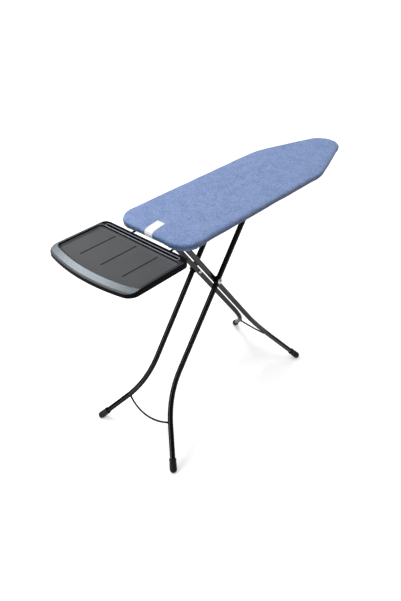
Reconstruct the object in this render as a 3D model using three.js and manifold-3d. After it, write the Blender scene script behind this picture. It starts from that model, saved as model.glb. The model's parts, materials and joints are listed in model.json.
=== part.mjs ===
// Folding ironing board with a tray for a steam station, standing at its full height.
// Millimetres. +X runs from the square end to the nose, +Y across the board, +Z up, floor at z = 0.
import * as THREE from "three";
import { mergeVertices } from "three/addons/utils/BufferGeometryUtils.js";
import Module from "manifold-3d";

const wasm = await Module();
wasm.setup();

const degrees = THREE.MathUtils.degToRad;
const GAP = 0.3; // air kept between pieces that touch

// Working surface, seen from above: square end at x = 0, nose at x = LENGTH
const LENGTH = 1240;
const HALF_WIDTH = 190;
const REAR_CORNER = 88;
const NOSE_RADIUS = 89;
const TAPER = degrees(19.3);
const SHOULDER_RADIUS = 353;

// Layers of the board, from the top down
const TOP = 1013;
const BOARD_DEPTH = 30;
const COVER = 2.2;
const EDGE_ROUND = 13;
const HEM_WIDTH = 42;
const PAD_BOTTOM = 1002.5;
const SHEET = 1;
const PANEL_TOP = PAD_BOTTOM - GAP;
const PANEL_INSET = 7;
const FLANGE_BOTTOM = 988;
const HOLES = { start: 75, columns: 11, pitchX: 104, pitchY: 80, radius: 16, margin: 40 };
const UNDER = PANEL_TOP - SHEET - GAP; // what hangs from the panel starts here

// Leg frames: two straight lines that cross at the scissor pivot
const SCISSOR = { x: 317.1, z: 672.5 };
const HINGE_Z = 957.5; // height of both top axles
const TUBE = 11.5;
const TUBE_WALL = 1.4;
const FLARE = degrees(32.3);
const BEND_RADIUS = 425;
const BOW_ROD = 4;
const BOW_HEIGHT = 182; // where a bow meets its legs, measured up the frame
const OUTER = { lean: degrees(35.443), toward: -1, half: 69.1, spread: 243.8 };
const INNER = { lean: degrees(36.398), toward: 1, half: 44, spread: 217.3 };

// Feet
const FOOT_ROUND = 15.8;
const FOOT_COLLAR = 15.6;
const FOOT_LENGTH = 45;
const FOOT_CENTRE_Z = 13.5;

// Top axles: the inner frame turns on a fixed rod, the outer frame's crossbar slides
const UPPER_ARM = (HINGE_Z - SCISSOR.z) / Math.cos(INNER.lean);
const ARM_REACH = Math.sqrt(UPPER_ARM ** 2 - (HINGE_Z - SCISSOR.z) ** 2);
const PIVOT_X = SCISSOR.x - ARM_REACH;
const SLIDER_X = SCISSOR.x + ARM_REACH;
const PIVOT_ROD = 6;
const SLEEVE_BORE = 6.4;
const SLEEVE_HALF = 55;
const BRACKET_INNER = 56;
const PLATE = 3;
const CROSSBAR = 8;
const GLIDE = 12;
const GLIDE_SPAN = [84, 96.5];
const FOLD = degrees(50);
const FOLDED_ANGLE = Math.PI / 2 - INNER.lean - FOLD;
const SLIDER_END_X = PIVOT_X + 2 * UPPER_ARM * Math.cos(FOLDED_ANGLE);

// Under-board gear
const RAIL_START = SLIDER_X - GLIDE - 8;
const RAIL_END = SLIDER_END_X + GLIDE + 8;
const RAIL_LIP = 83;
const RAIL_WEB = 97;
const RAIL_CHANNEL = 12.8;
const NOTCH_PITCH = 54;
const NOTCH_COUNT = 6;
const NOTCH_RADIUS = 9;
const RIB_STATIONS = [
  { x: 250, half: 176 },
  { x: 440, half: 176 },
  { x: 870, half: 172 },
  { x: 1050, half: 112 },
];
const LEVER = { x: 478, y: 75, z: 972 };

// Steam station tray
const TRAY_BACK = -5.7;
const TRAY_FRONT = -314;
const TRAY_HALF = 219.5;
const TRAY_TOP = 988.4;
const TRAY_DEPTH = 25;
const TRAY_FLOOR = TRAY_TOP - 11;
const WELL = { side: 11.5, back: 39, slopeWidth: 9, slopeRise: 5 };
const GROOVE = { start: -38.5, end: -28.5, half: 190, depth: 6 };
const TRAY_ARC = 764;
const LIP_DROP = 8;
const LIP_WIDTH = 36;
const STRIP = { start: -223, end: -56, width: 6, depth: 1.5, pitch: 110 };
const ROD = 4;
const ROD_Y = 101;
const ROD_Z = 965.5;
const ROD_START = -262;
const ROD_END = 255;
const SOCKET = { start: 50, end: 140, half: 9 };

const paint = (color, roughness, metalness = 0) =>
  new THREE.MeshStandardMaterial({ color, roughness, metalness });
const MATERIALS = {
  blackPaint: paint(0x17181a, 0.35, 0.4),
  greySteel: paint(0x85888c, 0.45, 0.8),
  zinc: paint(0xb9bcc0, 0.3, 0.9),
  trayPlastic: paint(0x2f3033, 0.45),
  gripRubber: paint(0x1d1d1f, 0.9),
  footRubber: paint(0x24272c, 0.75),
  nylon: paint(0xdcd2bb, 0.5),
  denim: paint(0x7f92bd, 0.95),
  foam: paint(0xd9d6cc, 1),
  label: paint(0xf3f2ee, 0.8),
};

// ---------------------------------------------------------------- solids

function toSolid(geometry) {
  const bare = geometry.clone();
  bare.deleteAttribute("normal");
  bare.deleteAttribute("uv");
  const merged = mergeVertices(bare, 1e-4);
  return new wasm.Manifold(new wasm.Mesh({
    numProp: 3,
    vertProperties: new Float32Array(merged.attributes.position.array),
    triVerts: new Uint32Array(merged.index.array),
  }));
}

function toGeometry(solid) {
  const mesh = solid.getMesh();
  const geometry = new THREE.BufferGeometry();
  geometry.setAttribute("position", new THREE.BufferAttribute(mesh.vertProperties, 3));
  geometry.setIndex(new THREE.BufferAttribute(mesh.triVerts, 1));
  geometry.computeVertexNormals();
  return geometry;
}

const join = (...geometries) =>
  toGeometry(geometries.map(toSolid).reduce((sum, solid) => sum.add(solid)));

const cut = (geometry, ...tools) =>
  toGeometry(tools.map(toSolid).reduce((rest, tool) => rest.subtract(tool), toSolid(geometry)));

function block(x, y, z) {
  const [size, centre] = [x, y, z].reduce(
    ([sizes, middles], [low, high]) => [[...sizes, high - low], [...middles, (low + high) / 2]],
    [[], []],
  );
  return new THREE.BoxGeometry(...size).translate(...centre);
}

// A round bar between two points
function bar(from, to, radius, sides = 16) {
  const axis = to.clone().sub(from);
  const turn = new THREE.Quaternion().setFromUnitVectors(
    new THREE.Vector3(0, 1, 0), axis.clone().normalize());
  return new THREE.CylinderGeometry(radius, radius, axis.length(), sides)
    .applyQuaternion(turn)
    .translate(...from.clone().lerp(to, 0.5).toArray());
}

const barAcross = (x, z, halfLength, radius, sides) =>
  bar(new THREE.Vector3(x, -halfLength, z), new THREE.Vector3(x, halfLength, z), radius, sides);

// A turned piece: the profile runs from axis to axis as [radius, height]
function turned(profile, from, direction, sides = 16) {
  const turn = new THREE.Quaternion().setFromUnitVectors(
    new THREE.Vector3(0, 1, 0), direction.clone().normalize());
  const points = profile.map(([radius, height]) => new THREE.Vector2(radius, height));
  return new THREE.LatheGeometry(points, sides).applyQuaternion(turn).translate(...from.toArray());
}

function ringSection(radius, bore, sides) {
  const ring = (size, count) => Array.from({ length: count }, (_, index) => {
    const angle = (index / count) * 2 * Math.PI;
    return new THREE.Vector2(size * Math.cos(angle), size * Math.sin(angle));
  });
  const section = new THREE.Shape(ring(radius, sides));
  if (bore > 0) section.holes.push(new THREE.Path(ring(bore, sides - 4).reverse()));
  return section;
}

// A polyline whose own points are the steps of the sweep
class Route extends THREE.Curve {
  constructor(points) {
    super();
    this.points = points;
  }

  getPoint(t, target = new THREE.Vector3()) {
    const place = t * (this.points.length - 1);
    const before = Math.min(Math.floor(place), this.points.length - 2);
    return target.lerpVectors(this.points[before], this.points[before + 1], place - before);
  }

  getUtoTmapping(u) {
    return u;
  }
}

const sweep = (section, points) =>
  new THREE.ExtrudeGeometry(section, { steps: points.length - 1, extrudePath: new Route(points) });

// A flat shape raised from z = low to z = high; its outer edges may be rounded, or slope by a rise
function slab(shapeAt, low, high, options = {}) {
  const { inset = 0, round = 0, rise = round, roundSteps = 2, arcSteps = 6 } = options;
  return new THREE.ExtrudeGeometry(shapeAt(inset + round), {
    depth: high - low - 2 * rise,
    bevelEnabled: round > 0,
    bevelSize: round,
    bevelThickness: rise,
    bevelSegments: roundSteps,
    curveSegments: arcSteps,
  }).translate(0, 0, low + rise);
}

// A shape drawn in the XZ plane, as (x, z), and given a thickness along Y
const plateAcross = (shape, yLow, yHigh, arcSteps = 8) =>
  new THREE.ExtrudeGeometry(shape, {
    depth: yHigh - yLow,
    bevelEnabled: false,
    curveSegments: arcSteps,
  }).rotateX(Math.PI / 2).translate(0, yHigh, 0);

// A shape drawn in the YZ plane, as (y, z), and given a length along X
function plateAlong(shape, xLow, xHigh, arcSteps = 8) {
  const toYZ = new THREE.Matrix4().makeBasis(
    new THREE.Vector3(0, 1, 0), new THREE.Vector3(0, 0, 1), new THREE.Vector3(1, 0, 0));
  return new THREE.ExtrudeGeometry(shape, {
    depth: xHigh - xLow,
    bevelEnabled: false,
    curveSegments: arcSteps,
  }).applyMatrix4(toYZ).translate(xLow, 0, 0);
}

const polygon = (points) => new THREE.Shape(points.map(([x, y]) => new THREE.Vector2(x, y)));

// ---------------------------------------------------------------- board

const noseCentre = LENGTH - NOSE_RADIUS;
const taperCorner = noseCentre + NOSE_RADIUS * Math.sin(TAPER)
  - (HALF_WIDTH - NOSE_RADIUS * Math.cos(TAPER)) / Math.tan(TAPER);
const shoulderX = taperCorner - SHOULDER_RADIUS * Math.tan(TAPER / 2);

// Plan outline of the board, drawn in by an inset; every arc keeps its centre
function boardOutline(inset) {
  const rear = REAR_CORNER - inset;
  const rearY = HALF_WIDTH - REAR_CORNER;
  const shoulder = SHOULDER_RADIUS - inset;
  const shoulderY = HALF_WIDTH - SHOULDER_RADIUS;
  const square = Math.PI / 2;
  const outline = new THREE.Shape();
  outline.absarc(REAR_CORNER, -rearY, rear, 2 * square, 3 * square, false);
  outline.absarc(shoulderX, -shoulderY, shoulder, -square, -square + TAPER, false);
  outline.absarc(noseCentre, 0, NOSE_RADIUS - inset, -square + TAPER, 0, false);
  outline.absarc(noseCentre, 0, NOSE_RADIUS - inset, 0, square - TAPER, false);
  outline.absarc(shoulderX, shoulderY, shoulder, square - TAPER, square, false);
  outline.absarc(REAR_CORNER, rearY, rear, square, 2 * square, false);
  return outline;
}

function fabricCover() {
  const bottom = TOP - BOARD_DEPTH;
  const outside = slab(boardOutline, bottom, TOP, { round: EDGE_ROUND });
  const hollow = slab(boardOutline, bottom + COVER, TOP - COVER, {
    inset: COVER, round: EDGE_ROUND - COVER,
  });
  const opening = slab(boardOutline, bottom - 5, bottom + 2 * COVER, { inset: HEM_WIDTH });
  return cut(outside, hollow, opening);
}

function foamPad() {
  const inset = COVER + GAP;
  const body = slab(boardOutline, TOP - BOARD_DEPTH + inset, TOP - inset, {
    inset, round: EDGE_ROUND - inset,
  });
  return cut(body, block([-10, LENGTH + 10], [-HALF_WIDTH, HALF_WIDTH], [TOP - 50, PAD_BOTTOM]));
}

// Pressed steel panel: a perforated sheet with its rim turned down
function boardPanel() {
  const body = slab(boardOutline, FLANGE_BOTTOM, PANEL_TOP, { inset: PANEL_INSET });
  const inside = slab(boardOutline, FLANGE_BOTTOM - 5, PANEL_TOP - SHEET, {
    inset: PANEL_INSET + SHEET,
  });
  const holes = [];
  for (let column = 0; column < HOLES.columns; column += 1) {
    const x = HOLES.start + column * HOLES.pitchX;
    const room = HALF_WIDTH - Math.max(0, x - taperCorner) * Math.tan(TAPER) - HOLES.margin;
    for (const row of [-1.5, -0.5, 0.5, 1.5]) {
      const y = row * HOLES.pitchY;
      if (Math.abs(y) > room) continue;
      const hole = new THREE.CylinderGeometry(HOLES.radius, HOLES.radius, 10, 6);
      holes.push(hole.rotateX(Math.PI / 2).translate(x, y, PANEL_TOP));
    }
  }
  return cut(body, inside, ...holes);
}

// Channel-shaped cross rib under the panel, open at the bottom
function crossRib({ x, half }) {
  const wide = 16;
  const deep = 11;
  const section = polygon([
    [x - wide, UNDER - deep], [x - wide + SHEET, UNDER - deep], [x - wide + SHEET, UNDER - SHEET],
    [x + wide - SHEET, UNDER - SHEET], [x + wide - SHEET, UNDER - deep], [x + wide, UNDER - deep],
    [x + wide, UNDER], [x - wide, UNDER],
  ]);
  return plateAcross(section, -half, half);
}

// Guide rail for one glide: a deep channel that hangs from the panel, closed at both ends
function guideRail(side) {
  const lip = RAIL_CHANNEL + 2;
  const web = RAIL_WEB + 2;
  const section = polygon([
    [RAIL_LIP, HINGE_Z - lip], [web, HINGE_Z - lip], [web, UNDER - 2], [web + 16, UNDER - 2],
    [web + 16, UNDER], [RAIL_WEB, UNDER], [RAIL_WEB, HINGE_Z + lip], [RAIL_LIP, HINGE_Z + lip],
    [RAIL_LIP, HINGE_Z + RAIL_CHANNEL], [RAIL_WEB, HINGE_Z + RAIL_CHANNEL],
    [RAIL_WEB, HINGE_Z - RAIL_CHANNEL], [RAIL_LIP, HINGE_Z - RAIL_CHANNEL],
  ]);
  const stop = (x) => block([x, x + 2], [RAIL_LIP, web - 1], [HINGE_Z - lip + 1, HINGE_Z + lip - 1]);
  const rail = join(plateAlong(section, RAIL_START, RAIL_END), stop(RAIL_START), stop(RAIL_END - 2));
  return side > 0 ? rail : mirrored(rail);
}

// The same piece on the other side of the board
function mirrored(geometry) {
  const copy = geometry.clone();
  copy.scale(1, -1, 1);
  const corners = copy.index ?? mergeVertices(copy).index;
  const flipped = new THREE.BufferGeometry();
  flipped.setAttribute("position", copy.attributes.position);
  flipped.setIndex([...corners.array].reverse());
  flipped.computeVertexNormals();
  return flipped;
}

// Notched rack above the crossbar's path; each notch is one working height
function heightRack() {
  const low = HINGE_Z + CROSSBAR + 1.7;
  const start = RAIL_START + 4;
  const end = RAIL_END - 4;
  const outline = new THREE.Shape();
  outline.moveTo(end, UNDER);
  outline.lineTo(start, UNDER);
  outline.lineTo(start, low);
  for (let notch = 0; notch < NOTCH_COUNT; notch += 1) {
    const x = SLIDER_X + notch * NOTCH_PITCH;
    outline.absarc(x, low, NOTCH_RADIUS, Math.PI, 0, true);
  }
  outline.lineTo(end, low);
  const flange = block([start, end], [-12, 12], [UNDER - 2, UNDER]);
  return join(plateAcross(outline, -PLATE / 2, PLATE / 2, 6), flange);
}

// Hanger plate for the inner frame's pivot rod, with a flange under the panel
function pivotBracket(side) {
  const plate = new THREE.Shape();
  plate.moveTo(PIVOT_X - 30, UNDER);
  plate.absarc(PIVOT_X, HINGE_Z, 12, Math.PI, 2 * Math.PI, false);
  plate.lineTo(PIVOT_X + 30, UNDER);
  const near = BRACKET_INNER;
  const flange = block([PIVOT_X - 30, PIVOT_X + 30], [near + 1, near + 28], [UNDER - 2, UNDER]);
  const body = join(plateAcross(plate, near, near + PLATE), flange);
  const bracket = cut(body, barAcross(PIVOT_X, HINGE_Z, 100, PIVOT_ROD + GAP));
  return side > 0 ? bracket : mirrored(bracket);
}

function pivotCap(side) {
  const start = BRACKET_INNER + PLATE + GAP;
  const bore = PIVOT_ROD + GAP;
  const profile = [[0, 6], [8, 6], [9.5, 4.5], [9.5, 0], [bore, 0], [bore, 4], [0, 4]].reverse();
  return turned(profile, new THREE.Vector3(PIVOT_X, side * start, HINGE_Z), acrossBy(side));
}

const acrossBy = (side) => new THREE.Vector3(0, side, 0);

// ---------------------------------------------------------------- release lever

function leverBracket() {
  const { x, y, z } = LEVER;
  const cheek = (low) => block([low, low + 2], [y - 10, y + 10], [z - 8, UNDER]);
  const top = block([x - 12, x + 12], [y - 10, y + 10], [UNDER - 2, UNDER]);
  const bore = bar(new THREE.Vector3(x - 20, y, z), new THREE.Vector3(x + 20, y, z), 3 + GAP);
  return cut(join(cheek(x - 12), cheek(x + 10), top), bore);
}

function releaseLever() {
  const { x, y, z } = LEVER;
  const arm = polygon([
    [y - 62, z - 4], [y - 66, z - 1], [y - 62, z + 3], [y - 4, z + 6], [y + 6, z + 6],
    [y + 52, z - 6], [y + 62, z - 9], [y + 62, z - 14], [y + 50, z - 14], [y + 4, z - 6],
    [y - 6, z - 6],
  ]);
  const bore = bar(new THREE.Vector3(x - 20, y, z), new THREE.Vector3(x + 20, y, z), 3 + GAP);
  return cut(plateAlong(arm, x - 4, x + 4), bore);
}

function leverGrip() {
  const { x, y, z } = LEVER;
  const corner = 9;
  const paddle = slab((inset) => {
    const shape = new THREE.Shape();
    const square = Math.PI / 2;
    const [left, right, near, far] = [x - 13, x + 13, y + 52, y + 98];
    shape.absarc(left, near, corner - inset, 2 * square, 3 * square, false);
    shape.absarc(right, near, corner - inset, 3 * square, 4 * square, false);
    shape.absarc(right, far, corner - inset, 0, square, false);
    shape.absarc(left, far, corner - inset, square, 2 * square, false);
    return shape;
  }, z - 18, z - 5, { round: 4, roundSteps: 1, arcSteps: 3 });
  const seat = block([x - 4 - GAP, x + 4 + GAP], [y + 20, y + 63], [z - 14 - GAP, z]);
  return cut(paddle, seat);
}

function leverPin() {
  const from = new THREE.Vector3(LEVER.x - 15, LEVER.y, LEVER.z);
  const profile = [[0, 0], [5.5, 0], [5.5, 2.7], [3, 2.7], [3, 30], [0, 30]];
  return turned(profile, from, new THREE.Vector3(1, 0, 0), 14);
}

function leverSpring() {
  const wire = 0.6;
  const turns = 3;
  const stepsPerTurn = 8;
  const points = Array.from({ length: turns * stepsPerTurn + 1 }, (_, step) => {
    const angle = (step / stepsPerTurn) * 2 * Math.PI;
    const x = LEVER.x + 5.2 + (step / stepsPerTurn) * 1.35;
    return new THREE.Vector3(x, LEVER.y + 4.4 * Math.cos(angle), LEVER.z + 4.4 * Math.sin(angle));
  });
  return sweep(ringSection(wire, 0, 5), points);
}

// ---------------------------------------------------------------- leg frames

// A point on a frame: distance down from the scissor pivot, and distance across
function onFrame(frame, along, across) {
  return new THREE.Vector3(
    SCISSOR.x + frame.toward * Math.sin(frame.lean) * along,
    across,
    SCISSOR.z - Math.cos(frame.lean) * along,
  );
}

const floorAlong = (frame) => SCISSOR.z / Math.cos(frame.lean);
const footAlong = (frame) => (SCISSOR.z - FOOT_CENTRE_Z) / Math.cos(frame.lean);

function footCentre(frame, side) {
  const across = frame.spread - (floorAlong(frame) - footAlong(frame)) * Math.tan(FLARE);
  return onFrame(frame, footAlong(frame), side * across);
}

// The way up the leg from its foot
function legDirection(frame, side) {
  const down = onFrame(frame, 1, 0).sub(onFrame(frame, 0, 0)).multiplyScalar(Math.cos(FLARE));
  return down.add(acrossBy(side * Math.sin(FLARE))).negate();
}

function leg(frame, side, topAlong, ...tools) {
  const corner = floorAlong(frame) - (frame.spread - frame.half) / Math.tan(FLARE);
  const bendStart = corner - BEND_RADIUS * Math.tan(FLARE / 2);
  const points = [onFrame(frame, topAlong, side * frame.half)];
  const bendSteps = 6;
  for (let step = 0; step <= bendSteps; step += 1) {
    const angle = (step / bendSteps) * FLARE;
    const across = frame.half + BEND_RADIUS * (1 - Math.cos(angle));
    points.push(onFrame(frame, bendStart + BEND_RADIUS * Math.sin(angle), side * across));
  }
  const end = footCentre(frame, side).addScaledVector(legDirection(frame, side), 1.3 + GAP);
  points.push(end);
  const tube = sweep(ringSection(TUBE, TUBE - TUBE_WALL, 14), points);
  const bolt = barAcross(SCISSOR.x, SCISSOR.z, 120, 4 + GAP, 12);
  return cut(tube, bolt, ...tools);
}

const outerLeg = (side) => leg(
  OUTER, side, -(HINGE_Z - SCISSOR.z) / Math.cos(OUTER.lean) - 8,
  barAcross(SLIDER_X, HINGE_Z, 120, CROSSBAR + GAP));

const innerLeg = (side) => leg(
  INNER, side, -UPPER_ARM + 5, barAcross(PIVOT_X, HINGE_Z, 120, TUBE + GAP));

// Thin bowed rod between a frame's legs; its centre is where the two flared legs would meet
function bow(frame) {
  const centre = floorAlong(frame) - frame.spread / Math.tan(FLARE);
  const radius = (floorAlong(frame) - BOW_HEIGHT - centre) / Math.cos(FLARE);
  const reach = FLARE - (TUBE + GAP) / radius;
  const steps = 12;
  const points = Array.from({ length: steps + 1 }, (_, step) => {
    const angle = reach * (2 * step / steps - 1);
    return onFrame(frame, centre + radius * Math.cos(angle), radius * Math.sin(angle));
  });
  return sweep(ringSection(BOW_ROD, 0, 8), points);
}

// Rubber foot: a domed sleeve over the tube end, its sole cut flat on the floor
function foot(frame, side) {
  const profile = [];
  for (let step = 0; step <= 4; step += 1) {
    const angle = (step / 4) * Math.PI / 2;
    profile.push([FOOT_ROUND * Math.sin(angle), -FOOT_ROUND * Math.cos(angle)]);
  }
  const bore = TUBE + GAP;
  profile.push(
    [FOOT_COLLAR - 0.8, FOOT_LENGTH - 9], [FOOT_COLLAR, FOOT_LENGTH - 7],
    [FOOT_COLLAR, FOOT_LENGTH], [bore, FOOT_LENGTH], [bore, 1.3], [0, 1.3]);
  const centre = footCentre(frame, side);
  const body = turned(profile, centre, legDirection(frame, side), 16);
  const floor = block([centre.x - 60, centre.x + 60], [centre.y - 60, centre.y + 60], [-40, 0]);
  return cut(body, floor);
}

function innerSleeve() {
  const points = [-SLEEVE_HALF, SLEEVE_HALF].map((y) => new THREE.Vector3(PIVOT_X, y, HINGE_Z));
  return sweep(ringSection(TUBE, SLEEVE_BORE, 16), points);
}

function outerCrossbar() {
  const half = GLIDE_SPAN[1] - 2;
  const points = [-half, half].map((y) => new THREE.Vector3(SLIDER_X, y, HINGE_Z));
  return sweep(ringSection(CROSSBAR, CROSSBAR - 1.5, 16), points);
}

function glide(side) {
  const length = GLIDE_SPAN[1] - GLIDE_SPAN[0];
  const bore = CROSSBAR + GAP;
  const profile = [
    [0, length - 1.5], [bore, length - 1.5], [bore, 0], [GLIDE - 1, 0], [GLIDE, 1],
    [GLIDE, length - 1], [GLIDE - 1, length], [0, length],
  ];
  return turned(profile, new THREE.Vector3(SLIDER_X, side * GLIDE_SPAN[0], HINGE_Z), acrossBy(side));
}

const innerFace = INNER.half + TUBE;
const outerFace = OUTER.half + TUBE;
const CAP = { radius: 12, thick: 3.5 };

function scissorBolt(side) {
  const start = INNER.half - TUBE - 7;
  const seat = outerFace + CAP.thick + 2 * GAP - start;
  const profile = [[0, 0], [4, 0], [4, seat], [7.5, seat], [7.5, seat + 1.5], [5, seat + 4.5],
    [0, seat + 5.2]];
  return turned(profile, new THREE.Vector3(SCISSOR.x, side * start, SCISSOR.z), acrossBy(side), 16);
}

function scissorWasher(side) {
  const length = OUTER.half - TUBE - innerFace - 2 * GAP;
  const profile = [[4 + GAP, 0], [15, 0], [15, length], [4 + GAP, length], [4 + GAP, 0]];
  const from = new THREE.Vector3(SCISSOR.x, side * (innerFace + GAP), SCISSOR.z);
  return turned(profile, from, acrossBy(side), 24);
}

// Bush between the outer leg and the bolt's head
function scissorCap(side) {
  const bore = 4 + GAP;
  const { radius, thick } = CAP;
  const profile = [[bore, 0], [radius, 0], [radius, thick - 1], [radius - 1, thick], [bore, thick],
    [bore, 0]];
  const from = new THREE.Vector3(SCISSOR.x, side * (outerFace + GAP), SCISSOR.z);
  return turned(profile, from, acrossBy(side), 24);
}

function scissorNut(side) {
  const thick = 6;
  const start = INNER.half - TUBE - GAP - thick;
  const from = new THREE.Vector3(SCISSOR.x, side * start, SCISSOR.z);
  const hexagon = turned([[0, 0], [7.5, 0], [7.5, thick], [0, thick]], from, acrossBy(side), 6);
  return cut(hexagon, barAcross(SCISSOR.x, SCISSOR.z, 120, 4 + GAP, 12));
}

// ---------------------------------------------------------------- tray

// Plan outline of the tray, drawn in separately at its sides, front and back
function trayOutline({ side = 0, front = 0, back = 0, frontCorner = 45, backCorner = 30 }) {
  const half = TRAY_HALF - side;
  const rear = TRAY_BACK - back;
  const arc = TRAY_ARC - front;
  const arcX = TRAY_FRONT + TRAY_ARC;
  const cornerY = half - frontCorner;
  const cornerX = arcX - Math.sqrt((arc - frontCorner) ** 2 - cornerY ** 2);
  const sweepAngle = Math.asin(cornerY / (arc - frontCorner));
  const square = Math.PI / 2;
  const outline = new THREE.Shape();
  outline.absarc(rear - backCorner, half - backCorner, backCorner, 0, square, false);
  outline.absarc(cornerX, cornerY, frontCorner, square, 2 * square - sweepAngle, false);
  outline.absarc(arcX, 0, arc, 2 * square - sweepAngle, 2 * square + sweepAngle, false);
  outline.absarc(cornerX, -cornerY, frontCorner, 2 * square + sweepAngle, 3 * square, false);
  outline.absarc(rear - backCorner, -half + backCorner, backCorner, 3 * square, 4 * square, false);
  return outline;
}

const evenTrayOutline = (inset) => trayOutline({
  side: inset, front: inset, back: inset, frontCorner: 45 - inset, backCorner: 30 - inset,
});

function slot(xLow, xHigh, yLow, yHigh, zLow, zHigh) {
  const alongX = xHigh - xLow > yHigh - yLow;
  const radius = Math.min(xHigh - xLow, yHigh - yLow) / 2;
  const middle = [(xLow + xHigh) / 2, (yLow + yHigh) / 2];
  const start = alongX ? Math.PI / 2 : Math.PI;
  const ends = alongX
    ? [[xLow + radius, middle[1]], [xHigh - radius, middle[1]]]
    : [[middle[0], yLow + radius], [middle[0], yHigh - radius]];
  const shape = new THREE.Shape();
  shape.absarc(...ends[0], radius, start, start + Math.PI, false);
  shape.absarc(...ends[1], radius, start + Math.PI, start + 2 * Math.PI, false);
  return slab(() => shape, zLow, zHigh, { arcSteps: 4 });
}

const stripRows = [-STRIP.pitch, 0, STRIP.pitch];

function trayShell() {
  const bottom = TRAY_TOP - TRAY_DEPTH;
  const body = slab(evenTrayOutline, bottom, TRAY_TOP, { round: 2.5, roundSteps: 1 });
  const wellAt = (inset) => trayOutline({
    side: WELL.side + inset, front: LIP_WIDTH + inset, back: WELL.back + inset,
    frontCorner: 24 - inset, backCorner: 20 - inset,
  });
  const well = slab(wellAt, TRAY_FLOOR, TRAY_TOP + 15, {
    round: WELL.slopeWidth, rise: WELL.slopeRise, roundSteps: 1, arcSteps: 5,
  });
  const underside = slab(evenTrayOutline, bottom - 5, TRAY_FLOOR - 3, { inset: 3, arcSteps: 4 });
  const groove = slot(
    GROOVE.start, GROOVE.end, -GROOVE.half, GROOVE.half, TRAY_TOP - GROOVE.depth, TRAY_TOP + 5);

  // The broad front lip falls away outward, as a cone about the front arc's own centre
  const crest = TRAY_ARC - LIP_WIDTH;
  const slope = LIP_DROP / LIP_WIDTH;
  const lipCut = new THREE.LatheGeometry([
    [crest, TRAY_TOP], [TRAY_ARC + 10, TRAY_TOP - slope * (LIP_WIDTH + 10)],
    [TRAY_ARC + 10, TRAY_TOP + 8], [crest, TRAY_TOP + 8], [crest, TRAY_TOP],
  ].map(([radius, height]) => new THREE.Vector2(radius, height)), 96)
    .rotateX(Math.PI / 2)
    .translate(TRAY_FRONT + TRAY_ARC, 0, 0);

  const stripSlots = stripRows.map((y) =>
    slot(STRIP.start, STRIP.end, y - STRIP.width / 2, y + STRIP.width / 2,
      TRAY_FLOOR - STRIP.depth, TRAY_FLOOR + 5));
  const rodNotches = [-1, 1].flatMap((side) => {
    const y = side * ROD_Y;
    const [from, to] = [-12, 12].map((reach) => new THREE.Vector3(TRAY_BACK + reach, y, ROD_Z));
    const reach = ROD + GAP;
    return [
      bar(from, to, reach, 12),
      block([from.x, to.x], [y - reach, y + reach], [bottom - 5, ROD_Z]),
    ];
  });
  const hollowed = cut(body, well, underside, groove, lipCut, ...stripSlots, ...rodNotches);
  const ribs = [-55, 55].map((y) =>
    block([TRAY_FRONT + 12, TRAY_BACK - 2], [y - 1.2, y + 1.2], [bottom + 5, TRAY_FLOOR - 2.5]));
  return join(hollowed, ...ribs);
}

function gripStrip(row) {
  const y = stripRows[row];
  const half = STRIP.width / 2 - GAP;
  const low = TRAY_FLOOR - STRIP.depth + GAP;
  return slot(STRIP.start + GAP, STRIP.end - GAP, y - half, y + half, low, TRAY_FLOOR + 0.8);
}

function trayRod(side) {
  const length = ROD_END - ROD_START;
  const profile = [[0, 0], [ROD - 1, 0], [ROD, 1], [ROD, length - 5], [6.5, length - 5],
    [6.5, length], [0, length]];
  const from = new THREE.Vector3(ROD_START, side * ROD_Y, ROD_Z);
  return turned(profile, from, new THREE.Vector3(1, 0, 0), 14);
}

function rodHolder(xLow, xHigh, half, zLow, zHigh, side) {
  const y = side * ROD_Y;
  const bore = bar(new THREE.Vector3(xLow - 5, y, ROD_Z), new THREE.Vector3(xHigh + 5, y, ROD_Z),
    ROD + GAP, 12);
  return cut(block([xLow, xHigh], [y - half, y + half], [zLow, zHigh]), bore);
}

const rodSocket = (side) =>
  rodHolder(SOCKET.start, SOCKET.end, SOCKET.half, ROD_Z - 8, UNDER, side);

const rodClip = (side, x) =>
  rodHolder(x - 10, x + 10, 8, ROD_Z - ROD - GAP - 1.2, TRAY_FLOOR - 3 - GAP, side);

// ---------------------------------------------------------------- label

// Woven label stitched over the square end, from the top surface round to the hem
function endLabel() {
  const bottom = TOP - BOARD_DEPTH;
  const middle = [EDGE_ROUND, TOP - EDGE_ROUND, bottom + EDGE_ROUND];
  const inner = EDGE_ROUND + GAP;
  const outer = inner + 0.8;
  const shape = new THREE.Shape();
  shape.moveTo(84, TOP + GAP);
  shape.lineTo(84, TOP + GAP + 0.8);
  shape.absarc(middle[0], middle[1], outer, Math.PI / 2, Math.PI, false);
  shape.absarc(middle[0], middle[2], outer, Math.PI, Math.PI * 1.35, false);
  shape.absarc(middle[0], middle[2], inner, Math.PI * 1.35, Math.PI, true);
  shape.absarc(middle[0], middle[1], inner, Math.PI, Math.PI / 2, true);
  return plateAcross(shape, -20, 26, 6);
}

// ---------------------------------------------------------------- assembly

const product = new THREE.Group();
product.position.x = -(LENGTH + TRAY_FRONT) / 2; // the origin is under the middle of the whole

function add(name, geometry, material) {
  const mesh = new THREE.Mesh(geometry, MATERIALS[material]);
  mesh.name = name;
  product.add(mesh);
}

const SIDES = [["left", 1], ["right", -1]];

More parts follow.
